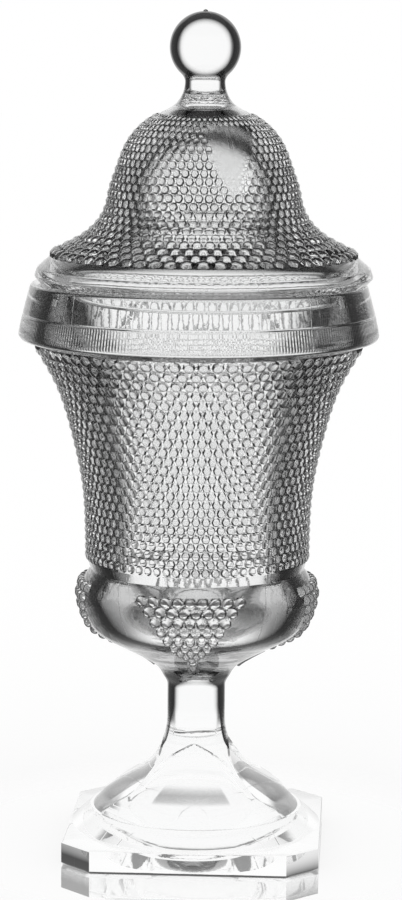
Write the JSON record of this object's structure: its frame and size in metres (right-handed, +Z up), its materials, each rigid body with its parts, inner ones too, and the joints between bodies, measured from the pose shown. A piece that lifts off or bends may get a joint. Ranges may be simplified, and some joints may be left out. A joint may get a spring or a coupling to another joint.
{
  "type": "covered urn",
  "caption": "Tall footed urn of clear pressed glass with a hobnailed body, wide plain collar, square foot and a lift-off domed cover with a ball finial.",
  "frame": {"origin": "centre of the square foot's underside, on the surface that the urn stands on", "axes": "+Z up along the urn's axis, -Y towards the front, the slab's sides along X and Y"},
  "size_m": [0.1112, 0.1112, 0.2606],
  "materials": {
    "foot_glass": "clear pressed glass, smooth",
    "bowl_glass": "clear pressed glass, hobnail relief outside, smooth inside",
    "lid_glass": "clear pressed glass, hobnail relief outside, smooth inside"
  },
  "bodies": {
    "urn": {"foot": "foot_glass", "bowl": "bowl_glass"},
    "cover": {"lid": "lid_glass"}
  },
  "joints": [
    {"name": "cover_lift", "type": "slide", "parent": "urn", "child": "cover", "axis": [0, 0, 1], "range_m": [0, 0.12]}
  ]
}
